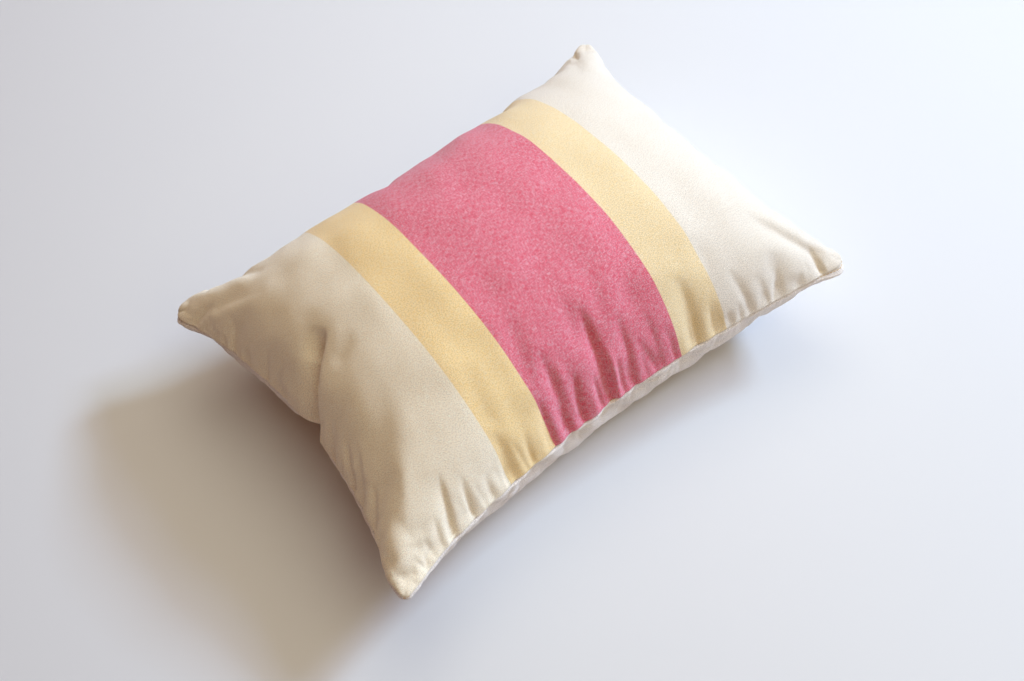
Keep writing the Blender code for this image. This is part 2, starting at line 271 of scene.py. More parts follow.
# %% The folds, in metres from a panel's middle
Fold = namedtuple("Fold", "panel from_x from_y to_x to_y depth width sharp lean")
NEAR_EDGE = -FLAT_WIDTH / 2
FAR_EDGE = FLAT_WIDTH / 2
LEFT_EDGE = -FLAT_LENGTH / 2
FOLDS = (
    # The deep pinch in the left side: its hollow with a blunt upper end, the dents of the back panel
    # below it, the small ridge beside it and the dimple to its right.
    Fold("front", LEFT_EDGE, -0.0160, -0.1425, 0.0180, 0.0130, 0.0068, 0.35, 0.60),
    Fold("front", -0.170, 0.0055, -0.1425, 0.0185, 0.0046, 0.0074, 0.0, 0.45),
    Fold("back", LEFT_EDGE, -0.003, -0.170, 0.002, 0.0140, 0.0160, 0.1, 0.0),
    Fold("back", -0.199, 0.022, -0.140, 0.016, 0.0060, 0.0160, 0.0, 0.0),
    Fold("front", -0.2035, -0.0150, -0.180, 0.0105, -0.0018, 0.0022, 0.8, 0.0),
    Fold("front", -0.160, -0.013, -0.127, -0.003, 0.0012, 0.0072, 0.0, 0.0),
    # The far left ear: its full far side, its tuck and the hollow under its ridge.
    Fold("front", -0.182, FAR_EDGE, -0.176, 0.112, -0.0030, 0.0150, 0.0, 0.0),
    Fold("back", -0.182, FAR_EDGE, -0.176, 0.126, -0.0038, 0.0150, 0.0, 0.0),
    Fold("front", LEFT_EDGE, 0.128, -0.182, 0.126, 0.0022, 0.0046, 0.4, 0.0),
    Fold("back", LEFT_EDGE, 0.143, -0.190, 0.120, -0.0020, 0.0060, 0.0, 0.0),
    Fold("front", -0.198, 0.132, -0.150, 0.086, 0.0030, 0.0110, 0.0, 0.3),
    # The near left ear's full left side, its tucks, and the long hollow that runs into it.
    Fold("front", LEFT_EDGE, -0.134, -0.178, -0.128, -0.0032, 0.0130, 0.0, 0.0),
    Fold("back", LEFT_EDGE, -0.134, -0.188, -0.128, -0.0032, 0.0130, 0.0, 0.0),
    Fold("front", -0.200, -0.112, -0.138, -0.050, 0.0040, 0.0190, 0.0, 0.2),
    Fold("front", -0.186, -0.137, -0.146, -0.092, -0.0018, 0.0085, 0.0, 0.0),
    Fold("front", -0.189, NEAR_EDGE, -0.198, -0.140, 0.0008, 0.0018, 0.8, 0.0),
    Fold("front", -0.178, NEAR_EDGE, -0.185, -0.140, 0.0012, 0.0022, 0.7, 0.3),
    Fold("front", LEFT_EDGE, -0.141, -0.192, -0.144, 0.0008, 0.0018, 0.7, 0.0),
    Fold("front", LEFT_EDGE, -0.131, -0.190, -0.134, 0.0008, 0.0020, 0.6, 0.0),
    Fold("front", -0.168, NEAR_EDGE, -0.171, -0.139, 0.0010, 0.0026, 0.6, 0.0),
    Fold("front", -0.203, -0.136, -0.182, -0.152, 0.0012, 0.0024, 0.5, 0.2),
    # Gathers along the left seam, between the pinch and the near ear.
    Fold("front", LEFT_EDGE, -0.042, -0.186, -0.028, 0.0015, 0.0038, 0.6, 0.3),
    Fold("front", LEFT_EDGE, -0.070, -0.184, -0.046, 0.0022, 0.0042, 0.6, 0.4),
    Fold("front", LEFT_EDGE, -0.084, -0.182, -0.062, 0.0018, 0.0040, 0.5, 0.3),
    Fold("front", LEFT_EDGE, -0.104, -0.186, -0.086, 0.0018, 0.0040, 0.4, 0.3),
    Fold("front", LEFT_EDGE, 0.048, -0.186, 0.054, 0.0014, 0.0040, 0.4, 0.0),
    Fold("front", LEFT_EDGE, 0.086, -0.182, 0.084, 0.0016, 0.0048, 0.3, 0.0),
    # Gathers along the near seam, from the left ear to the right one.
    Fold("front", -0.161, NEAR_EDGE, -0.157, -0.136, 0.0016, 0.0038, 0.6, 0.2),
    Fold("front", -0.149, NEAR_EDGE, -0.139, -0.120, 0.0026, 0.0046, 0.6, 0.4),
    Fold("front", -0.131, NEAR_EDGE, -0.127, -0.131, 0.0015, 0.0038, 0.7, 0.2),
    Fold("front", -0.114, NEAR_EDGE, -0.110, -0.139, 0.0007, 0.0040, 0.5, 0.0),
    Fold("front", -0.093, NEAR_EDGE, -0.092, -0.128, 0.0016, 0.0055, 0.3, 0.0),
    Fold("front", -0.076, NEAR_EDGE, -0.073, -0.134, 0.0012, 0.0044, 0.4, 0.0),
    Fold("front", -0.056, NEAR_EDGE, -0.054, -0.130, 0.0026, 0.0040, 0.6, 0.2),
    Fold("front", -0.041, NEAR_EDGE, -0.036, -0.102, 0.0026, 0.0050, 0.4, 0.2),
    Fold("front", -0.034, -0.135, -0.028, -0.118, -0.0014, 0.0040, 0.2, 0.0),
    Fold("front", -0.028, NEAR_EDGE, -0.022, -0.130, 0.0036, 0.0038, 0.7, 0.3),
    Fold("front", -0.019, NEAR_EDGE, -0.014, -0.142, -0.0012, 0.0026, 0.4, 0.0),
    Fold("front", -0.011, NEAR_EDGE, -0.010, -0.137, 0.0028, 0.0030, 0.8, 0.2),
    Fold("front", -0.002, NEAR_EDGE, 0.004, -0.096, 0.0050, 0.0054, 0.5, 0.4),
    Fold("front", 0.003, NEAR_EDGE, 0.008, -0.128, -0.0016, 0.0030, 0.3, 0.0),
    Fold("front", 0.008, NEAR_EDGE, 0.010, -0.137, 0.0022, 0.0028, 0.8, 0.0),
    Fold("front", 0.018, NEAR_EDGE, 0.024, -0.114, 0.0021, 0.0046, 0.5, 0.3),
    Fold("front", 0.028, NEAR_EDGE, 0.028, -0.140, 0.0010, 0.0030, 0.7, 0.0),
    Fold("front", 0.042, NEAR_EDGE, 0.041, -0.122, 0.0011, 0.0042, 0.5, 0.2),
    Fold("front", 0.053, NEAR_EDGE, 0.050, -0.134, 0.0010, 0.0036, 0.6, 0.0),
    Fold("front", 0.073, NEAR_EDGE, 0.075, -0.112, 0.0018, 0.0068, 0.2, 0.2),
    Fold("front", 0.092, NEAR_EDGE, 0.090, -0.136, 0.0006, 0.0044, 0.4, 0.0),
    Fold("front", 0.119, NEAR_EDGE, 0.112, -0.126, 0.0010, 0.0044, 0.5, 0.0),
    Fold("front", 0.133, NEAR_EDGE, 0.130, -0.136, 0.0008, 0.0040, 0.5, 0.0),
    Fold("front", 0.147, NEAR_EDGE, 0.148, -0.138, 0.0005, 0.0036, 0.4, 0.0),
    Fold("front", 0.158, NEAR_EDGE, 0.170, -0.140, 0.0005, 0.0034, 0.3, 0.0),
    # Long soft hollows that run up the crown from the gathers.
    Fold("front", -0.092, -0.130, -0.083, -0.080, 0.0010, 0.0080, 0.0, 0.0),
    Fold("front", -0.054, -0.128, -0.038, -0.066, 0.0020, 0.0075, 0.0, 0.0),
    Fold("front", -0.012, -0.128, 0.000, -0.078, 0.0012, 0.0060, 0.0, 0.0),
    Fold("front", 0.012, -0.124, 0.026, -0.070, 0.0014, 0.0065, 0.0, 0.0),
    Fold("front", 0.034, -0.126, 0.044, -0.088, 0.0009, 0.0064, 0.0, 0.0),
    Fold("front", 0.100, -0.130, 0.098, -0.092, 0.0010, 0.0080, 0.0, 0.0),
    # The groove that parts the near right ear from the body, its soft fold, and the ear's underside.
    Fold("front", 0.181, NEAR_EDGE, 0.187, -0.128, 0.0036, 0.0036, 0.6, 0.4),
    Fold("front", 0.189, -0.143, 0.150, -0.092, 0.0036, 0.0080, 0.1, 0.3),
    Fold("back", 0.194, NEAR_EDGE, 0.176, -0.132, -0.0034, 0.0100, 0.0, 0.0),
    # Far seam: the notch of the far ear, and kinks in the crown's outline.
    Fold("front", 0.184, FAR_EDGE, 0.176, 0.134, 0.0026, 0.0040, 0.4, 0.0),
    Fold("front", 0.180, 0.144, 0.152, 0.104, 0.0018, 0.0080, 0.0, 0.0),
    Fold("front", 0.082, FAR_EDGE, 0.076, 0.108, 0.0030, 0.0070, 0.3, 0.0),
    Fold("front", -0.031, FAR_EDGE, -0.033, 0.104, 0.0026, 0.0080, 0.3, 0.0),
    Fold("front", -0.154, FAR_EDGE, -0.142, 0.104, 0.0024, 0.0080, 0.1, 0.0),
    # Gathers of the back panel, which slant where they show under the near seam.
    Fold("back", -0.118, NEAR_EDGE, -0.070, -0.126, 0.0024, 0.0040, 0.4, 0.0),
    Fold("back", -0.078, NEAR_EDGE, -0.016, -0.126, 0.0032, 0.0040, 0.5, 0.0),
    Fold("back", -0.044, NEAR_EDGE, 0.022, -0.128, 0.0034, 0.0038, 0.5, 0.0),
    Fold("back", -0.010, NEAR_EDGE, 0.052, -0.127, 0.0036, 0.0040, 0.5, 0.0),
    Fold("back", 0.018, NEAR_EDGE, 0.086, -0.129, 0.0028, 0.0038, 0.4, 0.0),
    Fold("back", 0.060, NEAR_EDGE, 0.118, -0.129, 0.0028, 0.0042, 0.4, 0.0),
    Fold("back", 0.112, NEAR_EDGE, 0.150, -0.132, 0.0020, 0.0045, 0.4, 0.0),
)
CREASES = (
    # Fine creases of the back panel where it shows under the near seam. They run almost along it.
    Fold("back", -0.135, -0.1500, -0.050, -0.1320, 0.0022, 0.0018, 0.6, 0.3),
    Fold("back", -0.102, -0.1495, -0.026, -0.1330, 0.0028, 0.0020, 0.6, 0.3),
    Fold("back", -0.076, -0.1500, 0.010, -0.1310, 0.0023, 0.0017, 0.6, 0.3),
    Fold("back", -0.044, -0.1500, 0.036, -0.1320, 0.0030, 0.0020, 0.6, 0.3),
    Fold("back", -0.020, -0.1495, 0.066, -0.1330, 0.0025, 0.0018, 0.6, 0.3),
    Fold("back", 0.014, -0.1500, 0.094, -0.1330, 0.0026, 0.0020, 0.6, 0.3),
    Fold("back", 0.046, -0.1495, 0.124, -0.1340, 0.0021, 0.0018, 0.6, 0.3),
)

# %% [markdown]
# Small gathers
#
# Between the folds that can be named lie a few hundred that can't. A loop sets one every 7 mm or so
# along each side of both panels. A fixed seed gives each its own place, length, depth and slant, so
# that no two are alike and the same cushion comes out every time.

# %% Small gathers along every side
GATHER_SEED = 11
GATHER_PITCH = 0.0072
GATHER_LENGTH = (0.006, 0.019)
GATHER_DEPTH = (0.0002, 0.0013)
GATHER_WIDTH = (0.0018, 0.0032)
GATHER_SHARP = (0.3, 0.9)
GATHER_LEAN = (-0.4, 0.4)
GATHER_SLANT = 0.35
GATHER_SHIFT = (-0.35, 0.35)
EAR_LENGTH = 0.008


def side_gathers(rng, panel, along_x, side):
    """Fold rows for the small gathers on one side of a panel. Their shifts are shares of the pitch."""
    length, edge = (FLAT_LENGTH, FLAT_WIDTH / 2) if along_x else (FLAT_WIDTH, FLAT_LENGTH / 2)
    count = int((length - 2 * EAR_LENGTH) / GATHER_PITCH)
    shifts = rng.uniform(*GATHER_SHIFT, count)
    rows = []
    for place in (np.arange(count) + 0.5 + shifts) * GATHER_PITCH - length / 2 + EAR_LENGTH:
        reach = rng.uniform(*GATHER_LENGTH)
        end = place + reach * rng.normal(0, GATHER_SLANT)
        depth = GATHER_DEPTH[0] + (GATHER_DEPTH[1] - GATHER_DEPTH[0]) * rng.random() ** 2
        width, sharp, lean = (rng.uniform(*limits) for limits in (GATHER_WIDTH, GATHER_SHARP, GATHER_LEAN))
        line = (place, side * edge, end, side * (edge - reach))
        if not along_x:
            line = (line[1], line[0], line[3], line[2])
        rows.append(Fold(panel, *line, depth, width, sharp, lean))
    return rows


def small_gathers():
    """Fold rows for the small gathers on every side of both panels."""
    rng = np.random.default_rng(GATHER_SEED)
    rows = []
    for panel in ("front", "back"):
        for along_x in (True, False):
            for side in (-1, 1):
                rows += side_gathers(rng, panel, along_x, side)
    return rows


GATHERS = small_gathers()
print(len(FOLDS), "folds, the deepest", max(fold.depth for fold in FOLDS), "m")
print(len(CREASES), "creases and", len(GATHERS), "small gathers")

# %% Depth of the folds
BENDS_SEAM = (0.0020, 0.0080)
SEAM_REACH = 0.0030
RISES_WITHIN = (-0.05, 0.35)
FADE_POWER = 4
CREASE_ROUND = 0.14
CREASE_FALL = 1.6


def smooth_step(low, high, value):
    """Nothing below low, one above high, and a smooth rise between them."""
    share = np.clip((value - low) / (high - low), 0, 1)
    return share * share * (3 - 2 * share)


def past_fold(fold, s, t):
    """Distance to a fold's line over its width, and how far along the line, from 0 to 1."""
    x, y = s * FLAT_LENGTH / 2, t * FLAT_WIDTH / 2
    run_x, run_y = fold.to_x - fold.from_x, fold.to_y - fold.from_y
    along = ((x - fold.from_x) * run_x + (y - fold.from_y) * run_y) / (run_x ** 2 + run_y ** 2)
    along = np.clip(along, 0, 1)
    off_x, off_y = x - fold.from_x - along * run_x, y - fold.from_y - along * run_y
    on_left = np.sign(run_x * off_y - run_y * off_x)
    return np.hypot(off_x, off_y) / (fold.width * (1 + fold.lean * on_left)), along


def fold_depth(panel, s, t, from_seam, folds):
    """Sum of the given folds of one panel. The stiff seam gives way to the wide ones only."""
    depth = np.zeros_like(s)
    off_seam = smooth_step(0, SEAM_REACH, from_seam)
    for fold in folds:
        if fold.panel == panel:
            across, along = past_fold(fold, s, t)
            puff = np.exp(-across ** 2)
            crease = np.exp(-CREASE_FALL * (np.hypot(across, CREASE_ROUND) - CREASE_ROUND))
            profile = (1 - fold.sharp) * puff + fold.sharp * crease
            held = smooth_step(*BENDS_SEAM, fold.width)
            fades = (1 - along ** FADE_POWER) ** 2 * (held + (1 - held) * off_seam)
            if abs(fold.from_x) < FLAT_LENGTH / 2 and abs(fold.from_y) < FLAT_WIDTH / 2:
                fades = fades * smooth_step(*RISES_WITHIN, along)
            depth += fold.depth * profile * fades
    return depth


# %% [markdown]
# Soft waves and the seam's lips
#
# Stuffing is never even, so the cloth over it has low waves a few centimetres apart. Beside the seam
# each panel swells out at once over its own turned-in allowance, and the stitches hold the seam down
# between the two lips. Both are small, but light from the side shows them.

# %% Waves and lips
WAVE_SEED = 5
WAVE_COUNT = 26
WAVE_LENGTHS = (0.018, 0.060)
WAVE_HEIGHT = 0.00055
WAVES_RISE_BY = 0.020
LIP_HEIGHT = 0.0009
LIP_WIDTH = 0.0016
GROOVE_DEPTH = 0.0007
GROOVE_WIDTH = 0.0007
ALLOWANCE_HEIGHT = 0.00035
ALLOWANCE_ENDS = (0.0058, 0.0076)
SLOPE_STEP = 0.0005


def soft_waves(panel, x, y):
    """Low waves of the cloth, as a sum of ripples with fixed random directions."""
    rng = np.random.default_rng(WAVE_SEED + (panel == "back"))
    height = np.zeros_like(x)
    for _ in range(WAVE_COUNT):
        length, turn, start = rng.uniform(*WAVE_LENGTHS), rng.uniform(0, np.pi), rng.uniform(0, 2 * np.pi)
        phase = 2 * np.pi * (x * np.cos(turn) + y * np.sin(turn)) / length + start
        height += np.sin(phase) * length / WAVE_LENGTHS[1]
    return WAVE_HEIGHT * height / np.sqrt(WAVE_COUNT / 2)


def seam_lips(from_seam):
    """Height of a panel beside the seam: its groove, its lip, and the step where the allowance ends."""
    lip = LIP_HEIGHT * from_seam / LIP_WIDTH * np.exp(1 - from_seam / LIP_WIDTH)
    lip = lip - GROOVE_DEPTH * np.exp(-(from_seam / GROOVE_WIDTH) ** 2)
    under = (1 - smooth_step(*ALLOWANCE_ENDS, from_seam)) * smooth_step(0, LIP_WIDTH, from_seam)
    return lip + ALLOWANCE_HEIGHT * under


def outward(panel, s, t):
    """Unit vectors that point out of a bare panel."""
    step_s, step_t = 2 * SLOPE_STEP / FLAT_LENGTH, 2 * SLOPE_STEP / FLAT_WIDTH
    ahead_s, behind_s = np.clip(s + step_s, -1, 1), np.clip(s - step_s, -1, 1)
    ahead_t, behind_t = np.clip(t + step_t, -1, 1), np.clip(t - step_t, -1, 1)
    along = bare_panel(panel, ahead_s, t) - bare_panel(panel, behind_s, t)
    across = bare_panel(panel, s, ahead_t) - bare_panel(panel, s, behind_t)
    normal = np.cross(along, across) if panel == "front" else np.cross(across, along)
    return normal / np.maximum(np.linalg.norm(normal, axis=-1, keepdims=True), SMALL)


Panel = namedtuple("Panel", "s points")


def dressed_panel(panel, cloth_x, cloth_y, creases):
    """Where the flat cloth's points lie on the stuffed cushion, with the folds, waves and lips."""
    s, t = land(panel, cloth_x, cloth_y)
    x, y = cloth_x * FLAT_LENGTH / 2, cloth_y * FLAT_WIDTH / 2
    from_seam = np.minimum(FLAT_LENGTH / 2 - np.abs(x), FLAT_WIDTH / 2 - np.abs(y))
    raised = soft_waves(panel, x, y) * smooth_step(0, WAVES_RISE_BY, from_seam) + seam_lips(from_seam)
    raised = raised - fold_depth(panel, s, t, from_seam, (*FOLDS, *GATHERS))
    raised = raised - fold_depth(panel, cloth_x, cloth_y, from_seam, creases)
    points = bare_panel(panel, s, t) + raised[..., None] * outward(panel, s, t)
    if panel == "back":
        points[..., 2] = np.maximum(points[..., 2], 0)
    return Panel(s, points)


lip_top = seam_lips(np.linspace(0, ALLOWANCE_ENDS[1], 100)).max()
print("the seam's lips stand", round(1000 * float(lip_top), 2), "mm above the bare panel")

# %% [markdown]
# The closed cushion
#
# The two panels share the points of their seam, so the cushion is one closed piece. Both the coarse
# copy that is settled below and the fine cover are made by the same two functions, from grids of
# places on the flat cloth.

# %% Two panels sewn into one closed mesh
def on_seam(cloth_x, cloth_y):
    """Which of the flat cloth's points lie on the seam."""
    return (np.abs(cloth_x) == 1) | (np.abs(cloth_y) == 1)


def sewn_panels(cloth_x, cloth_y, creases=()):
    """Both panels at the given places, with one and the same seam."""
    front, back = (dressed_panel(panel, cloth_x, cloth_y, creases) for panel in ("front", "back"))
    seam = on_seam(cloth_x, cloth_y)
    middle = (front.points + back.points)[seam] / 2
    front.points[seam] = middle
    back.points[seam] = middle
    return front, back


def grid_faces(index, flip):
    """Quads of a grid of point numbers, turned over if flip is set."""
    corners = [index[:-1, :-1], index[1:, :-1], index[1:, 1:], index[:-1, 1:]]
    if flip:
        corners.reverse()
    return np.stack([corner.ravel() for corner in corners], axis=1)


def sew(name, front_points, back_points, seam):
    """An object of both panels that share their seam's points, and each panel's point numbers."""
    front_index = np.arange(seam.size).reshape(seam.shape)
    back_index = front_index.copy()
    back_index[~seam] = seam.size + np.arange((~seam).sum())
    points = np.concatenate([front_points.reshape(-1, 3), back_points[~seam]])
    faces = np.concatenate([grid_faces(front_index, False), grid_faces(back_index, True)])
    mesh = bpy.data.meshes.new(name)
    mesh.from_pydata(points.tolist(), [], faces.tolist())
    mesh.update()
    piece = bpy.data.objects.new(name, mesh)
    scene.collection.objects.link(piece)
    return piece, front_index, back_index


# %% [markdown]
# Settling the cloth
#
# A table of folds gives this cushion its own folds, but cloth also finds folds that nobody would
# think of. So a coarse copy of the cover is settled by Blender's cloth simulation. A pressure stands
# for the filling, and the seam and the base are held. The cloth close to the seam is told that it is
# a little longer than it lies, as it really is where the stitches gather it, so it wrinkles. Gravity
# is off, because the cushion has long come to rest. A simulation of the fine cover would take many
# minutes: instead, each of its points moves as far as the coarse copy moved there.

# %% Settling a coarse copy of the cover
SETTLE_STEP = 0.0034
SETTLE_FRAMES = 20
FILLING_PRESSURE = 4.0
SPARE_CLOTH = 0.04
SPARE_REACH = 0.030
HELD_BASE = 0.0015
CLOTH_SETTINGS = {
    "quality": 5, "mass": 0.15, "tension_stiffness": 15, "compression_stiffness": 15, "shear_stiffness": 5,
    "bending_stiffness": 0.3, "air_damping": 1.0, "use_pressure": True,
    "uniform_pressure_force": FILLING_PRESSURE, "shrink_min": -SPARE_CLOTH, "shrink_max": 0.0,
}


def weigh(piece, name, weights):
    """A vertex group with a weight for each point."""
    group = piece.vertex_groups.new(name=name)
    for number, weight in enumerate(weights):
        if weight > 0:
            group.add([number], float(weight), "REPLACE")
    return name


def settle(cloth_x, cloth_y):
    """How far each point of the two coarse panels moves while the cloth settles."""
    front, back = sewn_panels(cloth_x, cloth_y)
    seam = on_seam(cloth_x, cloth_y)
    piece, front_index, back_index = sew("settling_copy", front.points, back.points, seam)
    from_seam = np.minimum((1 - np.abs(cloth_x)) * FLAT_LENGTH, (1 - np.abs(cloth_y)) * FLAT_WIDTH) / 2
    from_seam = np.concatenate([from_seam.ravel(), from_seam[~seam]])
    start = np.concatenate([front.points.reshape(-1, 3), back.points[~seam]])
    cloth = piece.modifiers.new("settle", "CLOTH")
    for name, value in CLOTH_SETTINGS.items():
        setattr(cloth.settings, name, value)
    cloth.settings.vertex_group_mass = weigh(piece, "held", (from_seam == 0) | (start[:, 2] < HELD_BASE))
    cloth.settings.vertex_group_shrink = weigh(piece, "no_spare", 1 - np.exp(-from_seam / SPARE_REACH))
    cloth.settings.effector_weights.gravity = 0
    cloth.collision_settings.use_collision = False
    cloth.point_cache.frame_end = SETTLE_FRAMES
    for frame_number in range(1, SETTLE_FRAMES + 1):
        scene.frame_set(frame_number)
    settled = bpy.data.meshes.new_from_object(piece.evaluated_get(bpy.context.evaluated_depsgraph_get()))
    end = np.empty(3 * len(start), dtype=np.float32)
    settled.vertices.foreach_get("co", end)
    moved = end.reshape(-1, 3) - start
    scene.frame_set(1)
    bpy.data.objects.remove(piece)
    return moved[front_index], moved[back_index]


# %% Handing the movement on
MOST_MOVED = 0.006
MOVES_WITHIN = 0.055


def even_lines(length):
    """Places from -1 to 1 of the coarse copy's grid lines along a side of this length."""
    return np.linspace(-1, 1, round(length / SETTLE_STEP) + 1)


def spline_shares(places, count):
    """How much each of count even lines, and one past each end, weighs at the given places."""
    steps = (places + 1) / 2 * (count - 1)
    line = np.clip(steps.astype(int), 0, count - 2)
    part = steps - line
    rest = 1 - part
    pieces = (rest ** 3, 4 - 6 * part ** 2 + 3 * part ** 3, 4 - 6 * rest ** 2 + 3 * rest ** 3, part ** 3)
    shares = np.zeros((len(places), count + 2))
    for ahead, piece in enumerate(pieces):
        shares[np.arange(len(places)), line + ahead] = piece / 6
    return shares


def hand_on(moved, cloth_columns, cloth_rows):
    """The coarse panel's movement at the fine panel's points, capped, and fading out on the crown."""
    past_ends = np.pad(moved, ((1, 1), (1, 1), (0, 0)), mode="reflect", reflect_type="odd")
    along, across = (spline_shares(lines, count)
                     for lines, count in zip((cloth_columns, cloth_rows), moved.shape))
    fine = np.einsum("ia,abk,jb->ijk", along, past_ends, across, optimize=True)
    length = np.maximum(np.linalg.norm(fine, axis=-1, keepdims=True), SMALL)
    fine = fine / length * MOST_MOVED * np.tanh(length / MOST_MOVED)
    from_end = (1 - np.abs(cloth_columns)) * FLAT_LENGTH / 2
    from_side = (1 - np.abs(cloth_rows)) * FLAT_WIDTH / 2
    from_seam = np.minimum(from_end[:, None], from_side[None, :])
    return fine * np.exp(-(from_seam / MOVES_WITHIN) ** 2)[..., None]


# %% Run the settling
coarse_columns, coarse_rows = even_lines(FLAT_LENGTH), even_lines(FLAT_WIDTH)
settled_panels = settle(*np.meshgrid(coarse_columns, coarse_rows, indexing="ij"))
for name, moved in zip(("front", "back"), settled_panels):
    lengths = 1000 * np.linalg.norm(moved, axis=-1)
    mean, most = round(lengths.mean(), 2), round(lengths.max(), 2)
    print(name, "panel moved", mean, "mm on average, and", most, "at most")

# %% [markdown]
# The fine cover
#
# The fine grid has steps of about 1.4 mm, and finer ones beside the seam. Two things are kept with
# each point for the finish: its place on the flat cloth, as a UV map in metres that the weave
# follows, and its place along the bands.

# %% Grid lines of the fine cover
COLUMN_STEP = 0.0013
ROW_STEP = 0.0015
SEAM_STEP = 0.0005
STEP_GROWTH = 1.18


def cloth_lines(length, step):
    """Places from -1 to 1 of grid lines whose steps grow from the seam inwards."""
    steps, size, half = [], SEAM_STEP, length / 2
    while sum(steps) + size < half:
        steps.append(size)
        size = min(size * STEP_GROWTH, step)
    from_seam = np.concatenate([[0], np.cumsum(steps)]) * half / sum(steps)
    return np.concatenate([from_seam / half - 1, (1 - from_seam / half)[-2::-1]])


def line_length(points):
    """Length of a line through points, in metres."""
    return round(float(np.linalg.norm(np.diff(points, axis=0), axis=1).sum()), 4)


cloth_columns = cloth_lines(FLAT_LENGTH, COLUMN_STEP)
cloth_rows = cloth_lines(FLAT_WIDTH, ROW_STEP)
grid_x, grid_y = np.meshgrid(cloth_columns, cloth_rows, indexing="ij")
front, back = sewn_panels(grid_x, grid_y, CREASES)
for panel, moved in zip((front, back), settled_panels):
    panel.points[...] += hand_on(moved, cloth_columns, cloth_rows)
    panel.points[..., 2] = np.maximum(panel.points[..., 2], 0)
print(len(cloth_columns), "by", len(cloth_rows), "grid lines on each panel")
print("front panel along its middle", line_length(front.points[:, len(cloth_rows) // 2]),
      "m and across", line_length(front.points[len(cloth_columns) // 2]))

# %% The cover's mesh
BACK_MAP_SHIFT = 0.35


def make_cushion():
    """The fine cover, with its map of the flat cloth and its places along the bands."""
    seam = on_seam(grid_x, grid_y)
    cushion, front_index, back_index = sew("cushion_cover", front.points, back.points, seam)
    mesh = cushion.data
    count = len(mesh.polygons)
    mesh.polygons.foreach_set("material_index", (np.arange(count) >= count // 2).astype(np.int32))
    mesh.polygons.foreach_set("use_smooth", np.ones(count, dtype=bool))
    cloth = np.stack([grid_x * FLAT_LENGTH / 2, grid_y * FLAT_WIDTH / 2], axis=-1).reshape(-1, 2)
    front_map = cloth[grid_faces(front_index, False)]
    back_map = cloth[grid_faces(front_index, True)] + (0, BACK_MAP_SHIFT)
    cloth_map = np.concatenate([front_map, back_map]).astype(np.float32)
    mesh.uv_layers.new(name="cloth").uv.foreach_set("vector", cloth_map.ravel())
    along = np.concatenate([front.s.ravel(), back.s[~seam]]) * FLAT_LENGTH / 2
    along_bands = mesh.attributes.new("along_bands", "FLOAT", "POINT")
    along_bands.data.foreach_set("value", along.astype(np.float32))
    mesh.validate()
    mesh.update()
    return cushion


cushion = make_cushion()
print(len(cushion.data.polygons) * 2, "triangles")

# %% [markdown]
# Sums of sockets
#
# Materials and Geometry Nodes are networks of nodes, and long networks are hard to read as code. This
# small class wraps one socket, so that Python's own sums and products add the Math nodes, and every
# other node comes from one method.

# %% One class for sums of sockets
class Wire:
    """A socket of a node tree that takes part in sums like a number."""

    def __init__(self, tree, socket=None):
        self.tree, self.socket = tree, socket

    def node(self, kind, settings, sockets, out=0):
        """Adds a node, sets its settings and then its sockets, and gives one of its outputs."""
        made = self.tree.nodes.new(kind)
        for name, setting in settings.items():
            setattr(made, name, setting)
        plug(made, sockets)
        return Wire(self.tree, made.outputs[out])

    def math(self, operation, *values):
        return self.node("ShaderNodeMath", {"operation": operation}, dict(enumerate(values)))

    def sine(self):
        return self.math("SINE", self)

    def __add__(self, other):
        return self.math("ADD", self, other)

    def __radd__(self, other):
        return self.math("ADD", other, self)

    def __sub__(self, other):
        return self.math("SUBTRACT", self, other)

    def __rsub__(self, other):
        return self.math("SUBTRACT", other, self)

    def __mul__(self, other):
        return self.math("MULTIPLY", self, other)

    def __rmul__(self, other):
        return self.math("MULTIPLY", other, self)

    def __pow__(self, other):
        return self.math("POWER", self, other)

    def __abs__(self):
        return self.math("ABSOLUTE", self)

    def step(self, low, high):
        """Nothing below low, one above high, and a smooth rise between them."""
        return self.node("ShaderNodeMapRange", {"interpolation_type": "SMOOTHSTEP"},
                         {"Value": self, "From Min": low, "From Max": high})

    def mix(self, low, high):
        """A colour from low to high by this socket's value."""
        return self.node("ShaderNodeMix", {"data_type": "RGBA"}, {0: self, 6: low, 7: high}, out=2)


def plug(node, sockets):
    """Sets a node's input sockets to plain values, or links them to wires."""
    for name, value in sockets.items():
        if isinstance(value, Wire):
            value.tree.links.new(value.socket, node.inputs[name])
        else:
            node.inputs[name].default_value = value


def new_material(name):
    """An empty Principled material, with a wire to start sums from."""
    material = bpy.data.materials.new(name)
    material.use_nodes = True
    return material, material.node_tree.nodes["Principled BSDF"], Wire(material.node_tree)


def linear(red, green, blue):
    """A colour as a screen shows it, 0 to 255, in the linear light that shaders use."""
    shares = [channel / 255 for channel in (red, green, blue)]
    return tuple(c / 12.92 if c <= 0.04045 else ((c + 0.055) / 1.055) ** 2.4 for c in shares)


def colour4(colour):
    """A colour with the fourth number that sockets ask for."""
    return (*colour, 1)


# %% [markdown]
# Cloth
#
# The cover is a plain-weave canvas. Its warp runs across the cushion, so the bands are warp yarns of
# another dye, and the pale weft crosses all of them: that is why the pink looks flecked with white.
# A picture of cloth could be tiled, but then its grain would repeat. Here sine waves of the place on
# the cloth say which yarn lies on top, and stretched noise makes the yarns thick and thin.

# %% Yarns
YARN_PITCH = 0.0006
MOUND_POWER = 0.7
WARP_ON_TOP = (-0.5, 0.5)
NOISE_DETAIL = 2.0

